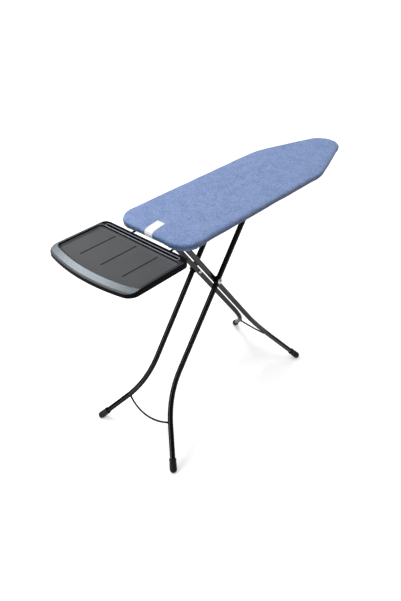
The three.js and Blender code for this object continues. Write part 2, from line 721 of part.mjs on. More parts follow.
add("board_panel", boardPanel(), "greySteel");
add("foam_pad", foamPad(), "foam");
add("fabric_cover", fabricCover(), "denim");
add("end_label", endLabel(), "label");
RIB_STATIONS.forEach((station, index) =>
  add(`cross_rib_${index + 1}`, crossRib(station), "greySteel"));
add("height_rack", heightRack(), "zinc");
add("pivot_rod", barAcross(PIVOT_X, HINGE_Z, BRACKET_INNER + PLATE + 4, PIVOT_ROD), "zinc");
add("lever_bracket", leverBracket(), "zinc");
add("lever_pin", leverPin(), "zinc");
add("lever_spring", leverSpring(), "zinc");
add("release_lever", releaseLever(), "blackPaint");
add("lever_grip", leverGrip(), "trayPlastic");
add("inner_sleeve", innerSleeve(), "blackPaint");
add("outer_crossbar", outerCrossbar(), "blackPaint");
add("inner_bow", bow(INNER), "blackPaint");
add("outer_bow", bow(OUTER), "blackPaint");
add("tray_shell", trayShell(), "trayPlastic");
stripRows.forEach((_, row) => add(`grip_strip_${row + 1}`, gripStrip(row), "gripRubber"));

for (const [name, side] of SIDES) {
  add(`guide_rail_${name}`, guideRail(side), "greySteel");
  add(`pivot_bracket_${name}`, pivotBracket(side), "greySteel");
  add(`pivot_cap_${name}`, pivotCap(side), "zinc");
  add(`rod_socket_${name}`, rodSocket(side), "trayPlastic");
  add(`inner_leg_${name}`, innerLeg(side), "blackPaint");
  add(`inner_foot_${name}`, foot(INNER, side), "footRubber");
  add(`outer_leg_${name}`, outerLeg(side), "blackPaint");
  add(`outer_foot_${name}`, foot(OUTER, side), "footRubber");
  add(`crossbar_glide_${name}`, glide(side), "nylon");
  add(`scissor_bolt_${name}`, scissorBolt(side), "zinc");
  add(`scissor_washer_${name}`, scissorWasher(side), "trayPlastic");
  add(`scissor_cap_${name}`, scissorCap(side), "nylon");
  add(`scissor_nut_${name}`, scissorNut(side), "zinc");
  add(`tray_rod_${name}`, trayRod(side), "blackPaint");
  add(`rod_clip_front_${name}`, rodClip(side, -230), "trayPlastic");
  add(`rod_clip_rear_${name}`, rodClip(side, -60), "trayPlastic");
}

export default product;
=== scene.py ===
"""Looks of a folding ironing board with a steam station tray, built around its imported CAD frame.

Metres, in the row frame: +X runs to the nose, +Z is up and the floor is z = 0.
"""
import json
import math

import bmesh
import bpy
import numpy as np
from mathutils import Matrix, Vector
from mathutils.bvhtree import BVHTree


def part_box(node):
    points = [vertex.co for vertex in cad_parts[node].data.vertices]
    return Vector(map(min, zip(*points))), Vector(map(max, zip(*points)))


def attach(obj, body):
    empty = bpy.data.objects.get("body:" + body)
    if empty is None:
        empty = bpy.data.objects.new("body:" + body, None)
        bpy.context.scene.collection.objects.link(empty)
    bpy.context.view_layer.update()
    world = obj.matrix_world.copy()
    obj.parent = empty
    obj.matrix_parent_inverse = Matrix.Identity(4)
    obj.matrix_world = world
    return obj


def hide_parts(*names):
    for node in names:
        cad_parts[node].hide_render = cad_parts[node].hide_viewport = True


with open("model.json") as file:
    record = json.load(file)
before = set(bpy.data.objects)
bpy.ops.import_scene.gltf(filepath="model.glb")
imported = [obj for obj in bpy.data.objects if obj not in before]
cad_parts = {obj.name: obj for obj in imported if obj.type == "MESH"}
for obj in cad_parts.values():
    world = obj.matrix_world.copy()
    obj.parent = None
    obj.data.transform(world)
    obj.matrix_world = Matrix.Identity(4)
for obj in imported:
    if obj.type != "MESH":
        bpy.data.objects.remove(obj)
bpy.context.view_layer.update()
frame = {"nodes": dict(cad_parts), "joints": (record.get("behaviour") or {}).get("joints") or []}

MM = 0.001
SIDES = {"left": 1, "right": -1}
PIVOTS = {joint["name"]: Vector(joint["pos_m"]) for joint in frame["joints"] if "pos_m" in joint}

# ---------------------------------------------------------------- sizes

COVER_LOW, COVER_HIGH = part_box("fabric_cover")
SQUARE_END = COVER_LOW.x
LENGTH = COVER_HIGH.x - COVER_LOW.x
TOP = COVER_HIGH.z
UNDERSIDE = COVER_LOW.z

# Plan outline of the board, the same arcs as in the CAD
HALF_WIDTH = COVER_HIGH.y
REAR_CORNER = 88 * MM
NOSE_RADIUS = 89 * MM
TAPER = math.radians(19.3)
SHOULDER_RADIUS = 353 * MM
EDGE_ROUND = 13 * MM
HEM_INSET = 42 * MM
MIDLINE = (SQUARE_END + 200 * MM, SQUARE_END + LENGTH - 200 * MM)

# Leg frames
SCISSOR = PIVOTS["scissor_pivot"]
HINGE = PIVOTS["leg_fold"]
TUBE = 11.5 * MM
FLARE = math.radians(32.3)
BEND_RADIUS = 425 * MM
BOW_HEIGHT = 182 * MM
BOW_ROD = 4 * MM
FOOT_CENTRE_Z = 13.5 * MM
LEGS = {
    "outer": {"lean": math.radians(35.443), "toward": -1, "half": 69.1 * MM, "spread": 243.8 * MM,
              "paint": "black_paint"},
    # The inner frame wears a lighter copy of the black paint: painted sheen for the reflections its tubes
    # catch.
    "inner": {"lean": math.radians(36.398), "toward": 1, "half": 44.0 * MM, "spread": 217.3 * MM,
              "paint": "painted_sheen_black"},
}

# Tray
TRAY_LOW, TRAY_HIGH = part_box("tray_shell")
TRAY_FLOOR = TRAY_HIGH.z - 11 * MM
TRAY_ARC = 764 * MM
LIP_WIDTH = 36 * MM
LIP_DROP = 8 * MM
WELL_SIDE = 11.5 * MM
WELL_BACK = 39 * MM
WELL_SLOPE_WIDTH = 9 * MM
WELL_SLOPE_RISE = 5 * MM
GROOVE_FROM_BACK = 27.8 * MM

# Cloth simulation
SETTLE_FRAMES = 20
SETTLE_CAP = 1.4 * MM


# ---------------------------------------------------------------- finishes

class Finish:
    """A Principled material, with short ways to write its procedural texture."""

    def __init__(self, name, **sockets):
        self.material = bpy.data.materials.new(name)
        self.material.use_nodes = True
        self.tree = self.material.node_tree
        self.shader = self.tree.nodes["Principled BSDF"]
        for socket, value in sockets.items():
            self.shader.inputs[socket.replace("_", " ")].default_value = value
        self.place = self.tree.nodes.new("ShaderNodeTexCoord").outputs["Object"]

    def link(self, output, socket):
        self.tree.links.new(output, self.shader.inputs[socket])

    def stretched(self, scale, turn=0.0):
        node = self.tree.nodes.new("ShaderNodeMapping")
        node.inputs["Scale"].default_value = scale
        node.inputs["Rotation"].default_value = (0, 0, turn)
        self.tree.links.new(self.place, node.inputs["Vector"])
        return node.outputs["Vector"]

    def noise(self, scale, detail=2.0, stretch=(1, 1, 1), turn=0.0, roughness=0.5):
        node = self.tree.nodes.new("ShaderNodeTexNoise")
        node.inputs["Scale"].default_value = scale
        node.inputs["Detail"].default_value = detail
        node.inputs["Roughness"].default_value = roughness
        self.tree.links.new(self.stretched(stretch, turn), node.inputs["Vector"])
        return node.outputs["Fac"]

    def ribs(self, period, direction, distortion=0.0):
        """Parallel waves, one every period metres."""
        node = self.tree.nodes.new("ShaderNodeTexWave")
        node.bands_direction = direction
        node.inputs["Scale"].default_value = 2 * math.pi / 20 / period
        node.inputs["Distortion"].default_value = distortion
        self.tree.links.new(self.place, node.inputs["Vector"])
        return node.outputs["Fac"]

    def along(self, axis):
        """Where a point on the piece is at rest, along the board ("X") or up ("Z")."""
        node = self.tree.nodes.new("ShaderNodeSeparateXYZ")
        self.tree.links.new(self.place, node.inputs["Vector"])
        return node.outputs[axis]

    def combine(self, operation, first, second):
        node = self.tree.nodes.new("ShaderNodeMath")
        node.operation = operation
        for socket, value in zip(node.inputs, (first, second)):
            if isinstance(value, (int, float)):
                socket.default_value = value
            else:
                self.tree.links.new(value, socket)
        return node.outputs["Value"]

    def spread(self, value, low, high, start=0.0, end=1.0):
        node = self.tree.nodes.new("ShaderNodeMapRange")
        for socket, number in (("From Min", start), ("From Max", end), ("To Min", low), ("To Max", high)):
            node.inputs[socket].default_value = number
        self.tree.links.new(value, node.inputs["Value"])
        return node.outputs["Result"]

    def ramp(self, value, *stops):
        node = self.tree.nodes.new("ShaderNodeValToRGB")
        ramp = node.color_ramp
        while len(ramp.elements) < len(stops):
            ramp.elements.new(1.0)
        for element, (position, colour) in zip(ramp.elements, stops):
            element.position = position
            element.color = (*colour, 1)
        self.tree.links.new(value, node.inputs["Fac"])
        return node.outputs["Color"]

    def mixed(self, blend, factor, first, second):
        node = self.tree.nodes.new("ShaderNodeMix")
        node.data_type = "RGBA"
        node.blend_type = blend
        for socket, value in ((node.inputs[0], factor), (node.inputs[6], first), (node.inputs[7], second)):
            if isinstance(value, (int, float)):
                socket.default_value = value
            elif isinstance(value, tuple):
                socket.default_value = (*value, 1)
            else:
                self.tree.links.new(value, socket)
        return node.outputs[2]

    def bump(self, height, distance, strength=1.0):
        node = self.tree.nodes.new("ShaderNodeBump")
        node.inputs["Distance"].default_value = distance
        node.inputs["Strength"].default_value = strength
        self.tree.links.new(height, node.inputs["Height"])
        self.link(node.outputs["Normal"], "Normal")


def denim():
    """Blue woven cotton: pale and dark yarns, mottled in short diagonal streaks, with painted shade on the
    side band.
    """
    cloth = Finish("denim", Roughness=0.95, Sheen_Weight=0.15, Sheen_Roughness=0.5)
    cloth.shader.inputs["Specular IOR Level"].default_value = 0.15
    along = cloth.noise(430, 2, stretch=(0.3, 1, 1), turn=0.75)
    across = cloth.noise(430, 2, stretch=(1, 0.3, 1), turn=0.75)
    clouds = cloth.noise(30, 3)
    streaks = cloth.combine("ADD", along, across)
    mottle = cloth.combine("ADD", streaks, cloth.combine("MULTIPLY", clouds, 0.35))
    colour = cloth.ramp(
        cloth.spread(mottle, 0, 1, 0.90, 1.46),
        (0.0, (0.122, 0.180, 0.355)), (0.5, (0.210, 0.296, 0.525)), (1.0, (0.325, 0.422, 0.680)))
    yarn = cloth.combine("MAXIMUM", cloth.ribs(1.1 * MM, "X", 0.6), cloth.ribs(1.1 * MM, "Y", 0.6))
    threads = cloth.ramp(yarn, (0.3, (0.62, 0.64, 0.68)), (1.0, (1, 1, 1)))
    colour = cloth.mixed("MULTIPLY", 0.35, colour, threads)
    # Painted shade: below the top edge the side band is darkened, more along the long sides than at the
    # square end, in place of the shade these sides fall in.
    edge = cloth.spread(cloth.along("Z"), 0.0, 1.0, TOP - 14 * MM, TOP - 4 * MM)
    long_side_shade = cloth.ramp(edge, (0.0, (0.36, 0.35, 0.33)), (1.0, (1, 1, 1)))
    square_end_shade = cloth.ramp(edge, (0.0, (0.42, 0.50, 0.56)), (1.0, (1, 1, 1)))
    from_end = cloth.spread(cloth.along("X"), 0.0, 1.0, SQUARE_END + 30 * MM, SQUARE_END + 110 * MM)
    painted_side_shade = cloth.mixed("MIX", from_end, square_end_shade, long_side_shade)
    cloth.link(cloth.mixed("MULTIPLY", 1.0, colour, painted_side_shade), "Base Color")
    weave = cloth.combine("ADD", yarn, cloth.combine("MULTIPLY", mottle, 0.8))
    cloth.bump(weave, 0.35 * MM, 0.7)
    return cloth.material


def felt():
    """Off-white needled foam felt."""
    pad = Finish("foam", Roughness=0.95, Sheen_Weight=0.3)
    fibres = pad.noise(700, 6, stretch=(0.4, 1, 1))
    pad.link(pad.ramp(fibres, (0.3, (0.52, 0.50, 0.45)), (0.7, (0.76, 0.74, 0.68))), "Base Color")
    pad.bump(fibres, 0.6 * MM)
    return pad.material


def woven_label():
    """White satin ribbon, unmarked on top, with plain grey-blue bars on its drop that stand for its
    lettering and partly for painted shade.
    """
    label = Finish("label_cloth", Roughness=0.6, Sheen_Weight=0.1)
    threads = label.ribs(0.5 * MM, "Y", 0.4)
    ground = label.ramp(threads, (0.0, (0.78, 0.79, 0.80)), (1.0, (0.90, 0.91, 0.92)))
    # Partly painted shade: the grey-blue bars stand for lettering on the drop and also darken it, in place
    # of the shade on its downward-hanging end.
    drop = label.spread(label.along("Z"), 0, 1, TOP - 1.5 * MM, TOP - 4 * MM)
    lettering_and_shade_bars = label.ramp(label.ribs(6.5 * MM, "Z"), (0.35, (0.68, 0.71, 0.79)), (0.6, (0.95, 0.96, 0.97)))
    label.link(label.mixed("MIX", drop, ground, lettering_and_shade_bars), "Base Color")
    label.bump(threads, 0.12 * MM)
    return label.material


def coated(name, dark, light, roughness, grain, depth, metallic, specular):
    """A hard surface: slow colour change, uneven gloss, and a fine bump of its own grain."""
    coat = Finish(name, Metallic=metallic)
    coat.shader.inputs["Specular IOR Level"].default_value = specular
    slow = coat.noise(18, 4)
    fine = coat.noise(grain, 3)
    halves = [coat.combine("MULTIPLY", part, 0.5) for part in (slow, fine)]
    mixture = coat.combine("ADD", *halves)
    coat.link(coat.ramp(mixture, (0.35, dark), (0.65, light)), "Base Color")
    coat.link(coat.spread(mixture, *roughness, 0.35, 0.65), "Roughness")
    coat.bump(fine, depth * MM)
    return coat.material


def hard_finishes():
    """Two colours, a range of roughness, the grain's fineness and depth, metallic and specular."""
    looks = {
        "panel_steel": ((0.20, 0.205, 0.21), (0.27, 0.275, 0.28), (0.38, 0.5), 900, 0.05, 0.25, 0.5),
        "zinc_steel": ((0.46, 0.47, 0.49), (0.66, 0.67, 0.69), (0.24, 0.4), 420, 0.02, 1.0, 0.5),
        "black_paint": ((0.018, 0.018, 0.019), (0.023, 0.023, 0.024), (0.15, 0.18), 1400, 0.01, 1.0, 0.5),
        # Painted sheen: a lighter copy of black_paint for the inner tubes.
        "painted_sheen_black": ((0.054, 0.054, 0.055), (0.066, 0.066, 0.067), (0.20, 0.27), 1400, 0.01, 1.0, 0.5),
        "tray_plastic": ((0.004, 0.004, 0.005), (0.007, 0.007, 0.008), (0.28, 0.34), 1500, 0.02, 0.0, 0.01),
        "lip_plastic": ((0.010, 0.0105, 0.012), (0.014, 0.0145, 0.016), (0.30, 0.33), 1500, 0.01, 0.0, 0.8),
        "well_plastic": ((0.037, 0.038, 0.043), (0.051, 0.052, 0.058), (0.5, 0.6), 1100, 0.08, 0.0, 0.4),
        # Painted highlight: the groove's bead is coloured pale grey-blue in place of the light its ridges
        # catch.
        "painted_highlight_plastic": ((0.170, 0.185, 0.235), (0.210, 0.225, 0.280), (0.35, 0.45), 1500, 0.01, 0.0, 0.5),
        "grip_rubber": ((0.014, 0.014, 0.016), (0.022, 0.022, 0.025), (0.7, 0.85), 1200, 0.06, 0.0, 0.2),
        "foot_rubber": ((0.006, 0.007, 0.011), (0.010, 0.012, 0.017), (0.45, 0.6), 900, 0.05, 0.0, 0.15),
        "nylon": ((0.60, 0.54, 0.42), (0.70, 0.64, 0.52), (0.4, 0.5), 600, 0.03, 0.0, 0.4),
    }
    finishes = {name: coated(name, *look) for name, look in looks.items()}
    tints = {
        "black_paint": (0.15, 0.15, 0.15),
        "painted_sheen_black": (0.42, 0.42, 0.42),
        "lip_plastic": (0.74, 0.87, 1.0),
    }
    for name, tint in tints.items():
        shader = finishes[name].node_tree.nodes["Principled BSDF"]
        shader.inputs["Specular Tint"].default_value = (*tint, 1)
    return finishes


FINISHES = {"denim": denim(), "foam": felt(), "label_cloth": woven_label(), **hard_finishes()}


# ---------------------------------------------------------------- mesh helpers

def piece(name, shape, finish, body, stands_for=(), sharp=38):
    """Turns a bmesh into a named piece that rides on a body and stands for CAD nodes."""
    bmesh.ops.remove_doubles(shape, verts=shape.verts, dist=1e-6)
    bmesh.ops.recalc_face_normals(shape, faces=shape.faces)
    mesh = bpy.data.meshes.new(name)
    shape.to_mesh(mesh)
    shape.free()
    mesh.shade_smooth()
    mesh.set_sharp_from_angle(angle=math.radians(sharp))
    obj = bpy.data.objects.new(name, mesh)
    bpy.context.scene.collection.objects.link(obj)
    mesh.materials.append(FINISHES[finish])
    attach(obj, body)
    if stands_for:
        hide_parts(*stands_for)
    return obj


def loft(rings, closed=True, first_cap=False, last_cap=False, shape=None):
    """Quads from each ring of points to the next."""
    shape = shape or bmesh.new()
    rows = [[shape.verts.new(point) for point in ring] for ring in rings]
    count = len(rows[0])
    for low, high in zip(rows, rows[1:]):
        for here in range(count if closed else count - 1):
            there = (here + 1) % count
            shape.faces.new((low[here], low[there], high[there], high[here]))
    if first_cap:
        shape.faces.new(rows[0])
    if last_cap:
        shape.faces.new(rows[-1])
    return shape


def circle(centre, side, up, radius, count):
    """Points round a circle, in the plane of two directions."""
    angles = [2 * math.pi * step / count for step in range(count)]
    return [centre + radius * (math.cos(a) * side + math.sin(a) * up) for a in angles]


def tube(path, radius, count=28, soft=0.0, closed=False, shape=None):
    """A round tube along a path, its ends capped and softened."""
    path = [Vector(point) for point in path]
    last = len(path) - 1
    side = None
    rings = []
    for index, point in enumerate(path):
        before = path[index - 1] if index or closed else point
        after = path[(index + 1) % len(path)] if index < last or closed else point
        along = (after - before).normalized()
        side = (side or along.orthogonal()).cross(along).cross(along).normalized() * -1
        rings.append((point, side, along.cross(side), along, radius))
    if soft and not closed:
        point, *axes, _ = rings[0]
        rings[0] = (point + axes[2] * soft, *axes, radius)
        rings.insert(0, (point, *axes, radius - soft))
        point, *axes, _ = rings[-1]
        rings[-1] = (point - axes[2] * soft, *axes, radius)
        rings.append((point, *axes, radius - soft))
    hoops = [circle(point, one, two, size, count) for point, one, two, _, size in rings]
    if closed:
        return loft(hoops + hoops[:1], shape=shape)
    return loft(hoops, first_cap=True, last_cap=True, shape=shape)


def lathe(profile, origin, axis, count=48, shape=None):
    """A turned piece: the profile runs as (radius, distance along the axis)."""
    axis = Vector(axis).normalized()
    side = axis.orthogonal().normalized()
    up = axis.cross(side)
    origin = Vector(origin)
    hoops = [circle(origin + axis * height, side, up, radius, count) for radius, height in profile]
    return loft(hoops, shape=shape)


def rounded(radius, low, high, edge, bore=0.0):
    """Profile of a disc or bush from low to high with its outer edges rounded."""
    turns = (0, 0.5, 1.0, 1.57)
    rim = [(radius - edge * (1 - math.sin(a)), low + edge * (1 - math.cos(a))) for a in turns]
    top = [(radius - edge * (1 - math.cos(a)), high - edge * (1 - math.sin(a))) for a in turns]
    return [(bore, low), *rim, *top, (bore, high)] + ([(bore, low)] if bore else [])


def soften(node, width, segments=2):
    """Rounds the edges of a CAD node that keeps its shape."""
    obj = frame["nodes"][node]
    bevel = obj.modifiers.new("soft_edges", "BEVEL")
    bevel.width = width
    bevel.segments = segments
    bevel.limit_method = "ANGLE"
    bevel.angle_limit = math.radians(35)
    bevel.harden_normals = False


# ---------------------------------------------------------------- board

def arc_points(centre, radius, start, end):
    """Points and outward normals on an arc, one for every degree."""
    steps = max(2, round(math.degrees(abs(end - start))))
    angles = np.linspace(start, end, steps + 1)
    normals = np.column_stack([np.cos(angles), np.sin(angles)])
    return np.hstack([np.array(centre) + radius * normals, normals])


def board_outline(half_count):
    """Plan points, outward normals and curvature round the board, from the nose tip and back."""
    square = math.pi / 2
    nose_x = LENGTH - NOSE_RADIUS
    taper_corner = nose_x + NOSE_RADIUS * math.sin(TAPER) - (
        HALF_WIDTH - NOSE_RADIUS * math.cos(TAPER)) / math.tan(TAPER)
    shoulder_x = taper_corner - SHOULDER_RADIUS * math.tan(TAPER / 2)
    parts = [
        ((nose_x, 0), NOSE_RADIUS, 0, square - TAPER),
        ((shoulder_x, HALF_WIDTH - SHOULDER_RADIUS), SHOULDER_RADIUS, square - TAPER, square),
        ((REAR_CORNER, HALF_WIDTH - REAR_CORNER), REAR_CORNER, square, 2 * square),
    ]
    points = np.vstack([arc_points(*part) for part in parts] + [[0, 0, -1, 0]])
    steps = np.linalg.norm(np.diff(points[:, :2], axis=0), axis=1)
    length = np.concatenate([[0], np.cumsum(steps)])
    places = np.linspace(0, length[-1], half_count + 1)
    half = np.column_stack([np.interp(places, length, points[:, column]) for column in range(4)])
    other = half[-2:0:-1] * (1, -1, 1, -1)
    whole = np.vstack([half, other])
    whole[:, 2:] /= np.linalg.norm(whole[:, 2:], axis=1)[:, None]
    whole[:, 0] += SQUARE_END
    turn = np.linalg.norm(np.roll(whole[:, 2:], -1, 0) - np.roll(whole[:, 2:], 1, 0), axis=1)
    return whole[:, :2], whole[:, 2:], turn / (2 * length[-1] / half_count)


def inner_rings(edge, shares, height):
    """Rings that draw in from an edge ring to the board's midline."""
    middle = np.column_stack([np.clip(edge[:, 0], *MIDLINE), np.zeros(len(edge))])
    return [np.column_stack([middle + (edge - middle) * share, np.full(len(edge), height)])
            for share in shares]


def board_layer(profile, half_count, shares, closed_below):
    """Rings from the midline out over the top and down an edge profile of (inset, height)."""
    outline, normals, _ = board_outline(half_count)
    first_inset, first_height = profile[0]
    rings = inner_rings(outline - normals * first_inset, shares, first_height)
    for inset, height in profile:
        rings.append(np.column_stack([outline - normals * inset, np.full(len(outline), height)]))
    if closed_below:
        last_inset, last_height = profile[-1]
        rings += inner_rings(outline - normals * last_inset, shares[::-1], last_height)
    return rings


def quarter(inset, height, radius, start, end, steps=5):
    """Part of a rounded edge, as (inset, height), angles measured from straight up, outward."""
    return [(inset - radius * math.sin(a), height + radius * math.cos(a))
            for a in np.linspace(start, end, steps)]


def cover_profile():
    """Section of the cover from its flat top, over the padded edge, under and into the rolled hem."""
    square = math.pi / 2
    roll = 2.6 * MM
    hem_middle = HEM_INSET - 1 * MM
    top = [(80, 0), (60, 0), (46, 0), (36, 0.1), (28, 0.3), (22, 0.6), (17, 1.0)]
    shoulder = [(inset * MM, TOP - drop * MM) for inset, drop in top]
    shoulder += quarter(EDGE_ROUND, TOP - EDGE_ROUND - 1.3 * MM, EDGE_ROUND, 0.1, square, 6)
    foot = quarter(EDGE_ROUND + 0.4 * MM, UNDERSIDE + 12 * MM, 12 * MM, square + 0.25, 2 * square, 5)
    under = [(20, 0.2), (26, 0.7), (32, 1.2), (37, 1.4)]
    flap = [(inset * MM, UNDERSIDE + rise * MM) for inset, rise in under]
    hem = [(hem_middle + roll * math.sin(a), UNDERSIDE + 4.2 * MM + roll * math.cos(a))
           for a in np.linspace(3.4, 3.4 + 1.5 * math.pi, 7)[::-1]]
    return shoulder + foot + flap + hem[::-1], len(shoulder) - 3


def tight_corners(curvature):
    """From 0 on the straights to 1 on the tight corners, round the outline."""
    count = len(curvature)
    smooth = np.convolve(np.tile(curvature, 3), np.ones(15) / 15, "same")[count:2 * count]
    return np.clip(smooth / 11.0, 0, 1)


def gathers(tight, phase_seed):
    """Size of the gathers round the outline: strong on the tight corners, faint on the straights."""
    count = len(tight)
    around = 2 * np.pi * np.arange(count) / count
    wander = sum(np.sin(k * around + phase_seed * k * k) / k for k in (2, 3, 5, 7, 11))
    waves = np.sin(168 * around + 5.0 * wander) + 0.6 * np.sin(113 * around - 4.0 * wander)
    creases = np.where(waves > 0, np.abs(waves) ** 0.5, -1.3 * np.abs(waves) ** 1.5)
    return creases * (0.22 * MM + 2.6 * MM * tight)


def slack(count):
    """Slow unevenness of the padded edge, in metres, round the outline."""
    around = 2 * np.pi * np.arange(count) / count
    return 0.45 * MM * (np.sin(9 * around + 0.8) + np.sin(14 * around + 2.9) + np.sin(23 * around + 4.4))


def settle(obj, held, cap):
    """Lets the cloth fill and settle, then keeps what it did, up to the cap."""
    scene = bpy.context.scene
    start = np.array([vertex.co for vertex in obj.data.vertices])
    group = obj.vertex_groups.new(name="held")
    group.add(held, 1.0, "REPLACE")
    cloth = obj.modifiers.new("settle", "CLOTH")
    settings = cloth.settings
    settings.quality = 6
    settings.mass = 0.3
    settings.tension_stiffness = 20
    settings.compression_stiffness = 12
    settings.bending_stiffness = 0.8
    settings.use_pressure = True
    settings.uniform_pressure_force = 4
    settings.effector_weights.gravity = 0
    settings.vertex_group_mass = "held"
    settings.shrink_max = 0.0
    settings.shrink_min = -0.012
    for number in range(1, SETTLE_FRAMES + 1):
        scene.frame_set(number)
    settled = obj.evaluated_get(bpy.context.evaluated_depsgraph_get()).data
    moved = np.array([vertex.co for vertex in settled.vertices]) - start
    obj.modifiers.remove(cloth)
    scene.frame_set(1)
    size = np.maximum(np.linalg.norm(moved, axis=1), 1e-9)
    kept = start + moved * (np.minimum(size, cap) / size)[:, None]
    obj.data.vertices.foreach_set("co", kept.ravel())
    obj.data.update()


def subdivide(obj):
    """Smooths a piece by one subdivision."""
    smooth = obj.modifiers.new("smooth", "SUBSURF")
    smooth.levels = 1
    smooth.render_levels = 1


def fabric_cover():
    """The sewn cover: a loft over the top, round the edge and under, gathered at the corners."""
    half_count = 300
    shares = [0, 0.14, 0.28, 0.42, 0.56, 0.7, 0.85]
    profile, edge_start = cover_profile()
    rings = board_layer(profile, half_count, shares, closed_below=False)
    _, normals, curvature = board_outline(half_count)
    tight = tight_corners(curvature)
    waves = gathers(tight, 1.7)
    first = len(shares) + edge_start
    uneven = slack(len(tight)) - 0.9 * MM
    for index in range(first - 2, len(rings)):
        rings[index][:, :2] += normals * uneven[:, None] * (1.0 if index >= first else 0.5)
    for index in range(first, len(rings)):
        grow = min(1.0, (index - first) / 5)
        flap = index - first > 8
        rings[index][:, :2] += normals * (waves * grow * (0.3 if flap else 0.9))[:, None]
        rings[index][:, 2] += waves * (0.9 if flap else 0.0)
        rings[index][:, 2] -= 5.5 * MM * tight * min(1.0, (index - first) / 8)
    obj = piece("denim_cover", loft(rings), "denim", "board", ["fabric_cover"], sharp=180)
    inner = len(rings[0]) * 3
    still = [vertex.index for vertex in obj.data.vertices
             if vertex.index < inner or vertex.co.z < UNDERSIDE + 2 * MM]
    settle(obj, still, SETTLE_CAP)
    subdivide(obj)
    return obj


def foam_pad():
    """The felt under the cover, a little smaller all round so that it never shows."""
    low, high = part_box("foam_pad")
    edge = 7.5 * MM
    inset = 8 * MM
    bottom = low.z
    top = high.z - 1.5 * MM
    profile = [(30 * MM, top)]
    profile += quarter(inset + edge, top - edge, edge, 0, math.pi / 2, 5)
    profile += [(inset + 1 * MM, bottom), (30 * MM, bottom)]
    shares = [0, 0.33, 0.67]
    rings = board_layer(profile, 160, shares, closed_below=True)
    pad = piece("felt_pad", loft(rings), "foam", "board", ["foam_pad"])
    return pad


# ---------------------------------------------------------------- label

def end_label(cover):
    """A ribbon stitched over the square end, a little askew, laid on the cover as it settled."""
    depsgraph = bpy.context.evaluated_depsgraph_get()
    surface = BVHTree.FromObject(cover, depsgraph)
    centre_z = TOP - EDGE_ROUND
    low_z = UNDERSIDE + EDGE_ROUND
    path = [(x * MM, TOP, 0, 1) for x in range(83, 13, -3)]
    path += [(EDGE_ROUND - EDGE_ROUND * math.sin(a), centre_z + EDGE_ROUND * math.cos(a),
              -math.sin(a), math.cos(a)) for a in np.linspace(0, math.pi / 2, 9)]
    path += [(EDGE_ROUND - EDGE_ROUND * math.cos(a), low_z - EDGE_ROUND * math.sin(a),
              -math.cos(a), -math.sin(a)) for a in np.linspace(0, 1.1, 7)]
    wide = 39 * MM
    columns = 17
    rings = []
    for lift in (1.0 * MM, 0.3 * MM):
        sheet = []
        for step, (x, z, out_x, out_z) in enumerate(path):
            share = step / (len(path) - 1)
            centre_y = 10 * MM - 15.5 * MM * share
            row = []
            for column in range(columns):
                y = centre_y + wide * (column / (columns - 1) - 0.5)
                out = Vector((out_x, 0, out_z))
                start = Vector((SQUARE_END + x, y, z)) + out * 0.01
                hit, normal, _, _ = surface.ray_cast(start, -out, 0.03)
                row.append((hit or start - out * 0.01) + out * lift)
            sheet.append(row)
        rings.append(sheet)
    outer, inner = rings
    shape = bmesh.new()
    hoops = [front + back[::-1] for front, back in zip(outer, inner)]
    loft(hoops, first_cap=True, last_cap=True, shape=shape)
    label = piece("woven_label", shape, "label_cloth", "board", ["end_label"], sharp=60)
    return outer


def label_stitches(outer):
    """A short row of thread that holds the label's top end."""
    shape = bmesh.new()
    lift = Vector((0, 0, 0.25 * MM))
    row = outer[1]
    for start, end in zip(row, row[1:]):
        stitch = [start.lerp(end, 0.15) + lift, start.lerp(end, 0.75) + lift]
        tube(stitch, 0.28 * MM, 6, soft=0.1 * MM, shape=shape)
    piece("label_stitches", shape, "label_cloth", "board")


# ---------------------------------------------------------------- leg frames

def on_frame(legs, along, across):
    """A point on a leg frame: distance down from the scissor pivot, and distance across."""
    return Vector((
        SCISSOR.x + legs["toward"] * math.sin(legs["lean"]) * along,
        across,
        SCISSOR.z - math.cos(legs["lean"]) * along,
    ))


def floor_along(legs):
    """Distance down from the scissor pivot to the floor."""
    return SCISSOR.z / math.cos(legs["lean"])


def foot_along(legs):
    """Distance down from the scissor pivot to the middle of a foot's dome."""
    return (SCISSOR.z - FOOT_CENTRE_Z) / math.cos(legs["lean"])


def foot_centre(legs, side):
    """Middle of a foot's dome."""
    across = legs["spread"] - (floor_along(legs) - foot_along(legs)) * math.tan(FLARE)
    return on_frame(legs, foot_along(legs), side * across)


def down_frame(legs):
    """The way down a leg frame, along its straight tubes."""
    return on_frame(legs, 1, 0) - on_frame(legs, 0, 0)


def leg_direction(legs, side):
    """The way up the leg from its foot."""
    down = down_frame(legs) * math.cos(FLARE)
    return -(down + Vector((0, side * math.sin(FLARE), 0)))


def leg_path(legs, side, top_along):
    """Centre line of a leg tube: straight down, round the bend and out to the foot."""
    corner = floor_along(legs) - (legs["spread"] - legs["half"]) / math.tan(FLARE)
    bend_start = corner - BEND_RADIUS * math.tan(FLARE / 2)
    path = [on_frame(legs, top_along, side * legs["half"])]
    for angle in np.linspace(0, FLARE, 21):
        across = legs["half"] + BEND_RADIUS * (1 - math.cos(angle))
        path.append(on_frame(legs, bend_start + BEND_RADIUS * math.sin(angle), side * across))
    path.append(foot_centre(legs, side) + leg_direction(legs, side) * 1.8 * MM)
    return path


def bow_path(legs):
    """Centre line of the bowed rod between the two legs of a frame."""
    centre = floor_along(legs) - legs["spread"] / math.tan(FLARE)
    radius = (floor_along(legs) - BOW_HEIGHT - centre) / math.cos(FLARE)
    reach = FLARE - (TUBE - 2 * MM) / radius
    return [on_frame(legs, centre + radius * math.cos(a), radius * math.sin(a))
            for a in np.linspace(-reach, reach, 41)]


def weld(shape, point, along, size):
    """A small weld bead round a joint."""
    swell = [(0.1, -0.9), (0.72, -0.75), (1.0, -0.35), (1.0, 0.2), (0.8, 0.75), (0.1, 0.95)]
    lathe([(radius * size, height * size) for radius, height in swell], point, along, 18, shape)


